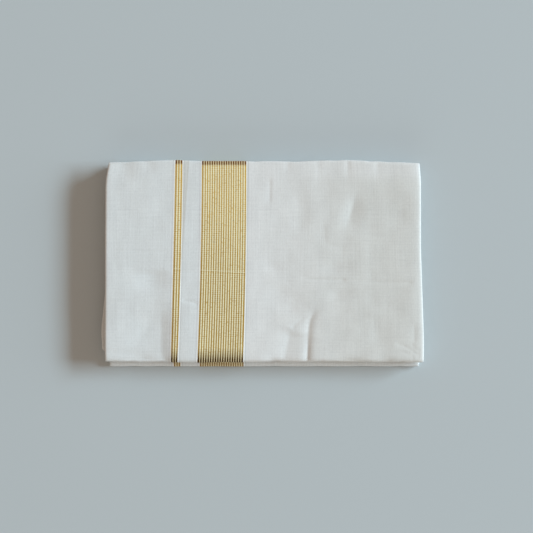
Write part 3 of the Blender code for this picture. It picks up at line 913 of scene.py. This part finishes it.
def makeTurn(group, line, relief, shift, lines, inset, step):
    w = weaving
    edges = {name: bandLine(*values) for name, values in lines.items()}
    leftInner = sideLine("left", inset, w["leftNoseReach"])
    rightInner = sideLine("right", inset, w["rightNoseReach"])
    left = plainColumns(leftInner, edges["stripeLeft"], w["leftWidth"], step, w["leftStart"])
    gap = plainColumns(edges["stripeRight"], edges["borderLeft"], w["gapWidth"], min(step, w["gapStep"]))
    selvedge = plainColumns(edges["borderRight"], edges["selvedgeRight"],
                            w["selvedgeWidth"], w["selvedgeStep"])
    right = plainColumns(edges["selvedgeRight"], rightInner, w["rightWidth"], step)
    stripe = bandColumns(edges["stripeLeft"], edges["stripeRight"], w["stripeCords"])
    border = bandColumns(edges["borderLeft"], edges["borderRight"], w["borderCords"])
    pieces = {
        "plain_left": (noseColumns("left", inset, 0.0) + besideBand(left, False, True)[1:], leftCotton),
        "zari_stripe": (stripe, goldZari),
        "plain_gap": (besideBand(gap, True, True), gapCotton),
        "zari_border": (border, goldZari),
        "selvedge": (besideBand(selvedge, True, False), gapCotton),
        # The top turn's right stretch carries painted shade towards its fold
        "plain_right": (right + noseColumns("right", inset, w["rightEnd"])[::-1][1:],
                        rightShadedCotton if group == "top" else leftCotton),
    }
    made = {}
    for node, (columns, material) in pieces.items():
        gold = material == goldZari
        name = group + "".join(word.capitalize() for word in node.split("_"))
        piece = buildSheet(name, line, columns, relief, material, shift)
        if group == "under":
            flipFaces(piece)
        if gold:
            raiseCords(piece, cords)
        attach(piece, "root")
        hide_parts(f"{group}_{node}")
        made[node] = piece
    return made


cords = cordTree(goldZari)
topTurn = makeTurn("top", topLine(), topRelief, topShift, topLines, 0.0, weaving["plainStep"])
print("top turn ready")
underTurn = makeTurn("under", underLine(), nothing, nothing, underLines, underInset, weaving["underStep"])
print("under turn ready")


# Side folds: the length of cloth winds through the stack as one closed line of eighteen layers

winding = {
    "order": ((0, 1), (5, -1), (4, 1), (1, -1), (2, 1), (3, -1)),
    "layers": 6, "hemLayers": 4,
    "ply": 1.0, "halfShare": 0.52, "clearance": 0.25,
    "topGap": 0.5, "foldGap": 0.1,
    "straightStep": 5.0, "arcRows": 9, "arcSquareness": 2.0,
    "endShare": 0.6, "endReach": 3.6,
    "noseReach": 1.5, "noseAngle": 1.2, "noseRows": 7,
    "tuck": 5.0, "inset": 0.3, "leastInset": 0.25,
    "wander": 0.15, "wanderWaves": 8, "wanderPitch": (40, 260), "wanderPhase": 6, "seed": 11,
    # Its last entry: how far in from a ply's nose the painted shade between plies sets in
    "sink": 0.30, "sinkLow": 10.0, "sinkHigh": 16.0, "plyGapShadeReach": (0.1, 1.0),
    "lowest": 0.02,
}

layerInsets = {
    "z": (0.0, 4.0, 6.6, 9.5, 13.0, 15.5, 19.5),
    "left": (3.9, 3.3, 4.0, 1.3, 1.9, 1.0, 0.6),
    "right": (4.2, 3.5, 4.5, 2.2, 1.5, 1.8, 0.6),
}

# The loose ply that stands out at the left
sliver = {
    "reach": 5.6, "low": 8.6, "high": 11.4,
    "start": -4.0, "slope": 66.0, "end": -88.5,
}

endStrip = {"inset": 2.5, "width": 313.0, "step": 8.0}


def arcBetween(centre, reach, high, low, facing):
    # Rows round the end of a layer from its high run to its low one
    w = winding
    fold = Fold(centre + facing * reach, reach, low, high, facing, w["arcRows"], w["arcSquareness"])
    return foldRows(fold)[::-1]


def layerRun(layer):
    # One layer from the top pack's back end, through both big folds, to the bottom pack's front end
    w = winding
    front, back, edge = folds["front"], folds["back"], folds["edge"]
    last = folds["hem"] if layer < w["hemLayers"] else folds["end"]
    offset = w["clearance"] + w["ply"] * (layer + 0.5)
    inner = w["clearance"] + w["ply"] * (w["layers"] - 1 - layer + 0.5)
    topZ = stackHeight - w["topGap"] - offset
    middleZ = front.low + offset - w["foldGap"]
    bottomZ = back.high + w["foldGap"] - middleZ
    frontCentre = front.tip + front.reach
    backCentre = back.tip - back.reach
    step = w["straightStep"]
    return joinRows(
        straightRows(last.tip - last.reach, frontCentre, topZ, step),
        arcBetween(frontCentre, front.reach - offset, topZ, middleZ, -1),
        straightRows(frontCentre, backCentre, middleZ, step),
        arcBetween(backCentre, back.reach - inner, middleZ, bottomZ, 1),
        straightRows(backCentre, edge.tip + edge.reach, bottomZ, step))


def endArc(start, end):
    # Rows round the end of a pack, from one layer's last row to the next layer's first
    w = winding
    reach = min(abs(end[1] - start[1]) * w["endShare"], w["endReach"])
    facing = 1 if start[0] > 0 else -1
    angle = np.linspace(-math.pi / 2, math.pi / 2, w["arcRows"])
    centreZ = (start[1] + end[1]) / 2
    half = (end[1] - start[1]) / 2
    return np.stack([start[0] + facing * reach * np.cos(angle), centreZ + half * np.sin(angle)], 1)


def windingLine():
    layers = [layerRun(layer)[::direction] for layer, direction in winding["order"]]
    rows = []
    for layer, following in zip(layers, layers[1:] + layers[:1]):
        rows += [layer, endArc(layer[-1], following[0])[1:-1]]
    return np.concatenate(rows)


def ribbonProfile():
    # The cut through a layer's edge: how far in and how far up each point lies
    w = winding
    half = w["ply"] * w["halfShare"]
    nose = [(w["noseReach"] * (1 - math.cos(angle)), half * math.sin(angle))
            for angle in np.linspace(-w["noseAngle"], w["noseAngle"], w["noseRows"])]
    return [(w["tuck"], -half), (w["noseReach"], -half), *nose, (w["noseReach"], half), (w["tuck"], half)]


def sliverReach(y, z):
    inside = (z > sliver["low"]) & (z < sliver["high"]) & (y > sliver["end"])
    return np.where(inside, sliver["reach"] * np.clip((sliver["start"] - y) / sliver["slope"], 0, 1), 0.0)


def sideFolds(side):
    w = winding
    rows = windingLine()
    ahead = np.roll(rows, -1, 0)
    tangent = ahead - np.roll(rows, 1, 0)
    tangent /= np.linalg.norm(tangent, axis=1)[:, None]
    normal = np.stack([-tangent[:, 1], tangent[:, 0]], 1)
    step = np.linalg.norm(ahead - rows, axis=1)
    length = np.concatenate([[0.0], np.cumsum(step)[:-1]])
    y, z = rows[:, 0], rows[:, 1]
    random = np.random.default_rng(w["seed"] + (side == "left"))
    wander = sum(np.sin(length * 2 * math.pi / random.uniform(*w["wanderPitch"])
                        + random.uniform(0, w["wanderPhase"]))
                 for _ in range(w["wanderWaves"])) * w["wander"]
    inset = np.interp(z, layerInsets["z"], layerInsets[side]) + wander + w["inset"]
    out = sliverReach(y, z) if side == "left" else np.zeros_like(y)
    inset = np.maximum(inset, w["leastInset"]) - out
    sign = 1 if side == "left" else -1
    edge = sideX(side, y)
    near = np.clip((z - w["sinkLow"]) / (w["sinkHigh"] - w["sinkLow"]), 0, 1)
    profile = ribbonProfile()
    grid = []
    for inward, lift in profile:
        # The upper layers follow the top ply's relief and hem from below
        x = edge + sign * (inset + inward)
        liftedY = y + normal[:, 0] * lift
        liftedZ = z + normal[:, 1] * lift + (topRelief(x, liftedY) - w["sink"]) * near
        grid.append(np.stack([x, liftedY + hemShift(x, liftedY) * near, np.maximum(liftedZ, w["lowest"])], 1))
    points = np.array(grid) * mm
    across = np.array([inward for inward, _ in profile])[:, None] + np.zeros(len(rows))[None, :]
    along = length[None, :] + np.zeros_like(across)
    # Painted shade between the plies, in from each nose, none where the loose ply stands out
    sunk = softStep(across, *w["plyGapShadeReach"]) * (1 - np.clip(out, 0, 1))
    marks = {"beside": np.full_like(across, weaving["farFromBand"]), "sunk": sunk}
    # The right side takes the darker copy of the fold cotton, painted shade
    material = foldCotton if side == "left" else rightShadedFoldCotton
    return gridPiece(f"sideFolds{side.capitalize()}", points, across, along, marks, material,
                     True)


def endFold():
    e = endStrip
    columns = plainColumns(sideLine("left", e["inset"]), sideLine("right", e["inset"]), e["width"], e["step"])
    return buildSheet("endFold", endLine(), columns, nothing, foldCotton, nothing)


leftFolds = sideFolds("left")
rightFolds = flipFaces(sideFolds("right"))
lastFold = flipFaces(endFold())
for piece in (leftFolds, rightFolds, lastFold):
    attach(piece, "root")
    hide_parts("hidden_layers")
print("side folds ready")


# Floor, light and camera

studio = {
    "floorHalf": 2.5, "floorLevel": -0.00005,
    "floorColour": colour(0.573, 0.600, 0.605), "floorGrain": 900.0, "floorTone": 0.97,
    "floorFinish": {"Roughness": 0.9, "Specular IOR Level": 0.1},
    "ambientColour": colour(0.361, 0.289, 0.232),
    "sensorWidth": 36.0, "viewDistance": 1600.0, "viewWidth": 533.0, "viewCentre": (3.9, -2.9),
}

Lamp = namedtuple("Lamp", "colour power distance elevation turn size")

lamps = {
    "key": Lamp((0.640, 0.859, 1.0), 3180.0, 15.0, 22.0, 14.0, (8.6, 2.75)),
    "low": Lamp((0.700, 0.880, 1.0), 520.0, 15.0, 12.0, 10.0, (10.0, 2.6)),
    "fill": Lamp((0.70, 0.93, 1.0), 220.0, 12.0, 20.0, -95.0, (9.0, 5.0)),
}


def makeFloor():
    half, level = studio["floorHalf"], studio["floorLevel"]
    mesh = bpy.data.meshes.new("floor")
    corners = [(-half, -half, level), (half, -half, level), (half, half, level), (-half, half, level)]
    mesh.from_pydata(corners, [], [(0, 1, 2, 3)])
    material, recipe, shader = newMaterial("pale floor", studio["floorFinish"])
    place = recipe.node("ShaderNodeTexCoord", None, None, "Object")
    grain = recipe.noise(place, studio["floorGrain"], 2.0, 0.5)
    pale = studio["floorColour"]
    recipe.join(shader.inputs["Base Color"],
                recipe.mixColour(grain, scaled(pale, studio["floorTone"]), pale))
    mesh.materials.append(material)
    floor = bpy.data.objects.new("floor", mesh)
    bpy.context.scene.collection.objects.link(floor)


def makeLights():
    world = bpy.data.worlds.new("studio")
    world.use_nodes = True
    background = world.node_tree.nodes["Background"]
    background.inputs["Color"].default_value = studio["ambientColour"]
    bpy.context.scene.world = world
    for name, lamp in lamps.items():
        area = bpy.data.lights.new(name, "AREA")
        area.shape = "RECTANGLE"
        area.size, area.size_y = lamp.size
        area.energy = lamp.power
        area.color = lamp.colour
        light = bpy.data.objects.new(name, area)
        elevation = math.radians(lamp.elevation)
        turn = math.radians(lamp.turn)
        light.location = (lamp.distance * math.cos(elevation) * math.cos(turn),
                          lamp.distance * math.cos(elevation) * math.sin(turn),
                          lamp.distance * math.sin(elevation))
        light.rotation_euler = (math.pi / 2 - elevation, 0.0, turn + math.pi / 2)
        bpy.context.scene.collection.objects.link(light)


def makeCamera():
    camera = bpy.data.cameras.new("camera")
    camera.sensor_width = studio["sensorWidth"]
    camera.lens = studio["sensorWidth"] * studio["viewDistance"] / studio["viewWidth"]
    view = bpy.data.objects.new("camera", camera)
    x, y = studio["viewCentre"]
    view.location = (x * mm, y * mm, (stackHeight + studio["viewDistance"]) * mm)
    bpy.context.scene.collection.objects.link(view)
    bpy.context.scene.camera = view
    bpy.context.scene.view_settings.view_transform = "Standard"


makeFloor()
makeLights()
makeCamera()
print("studio ready")
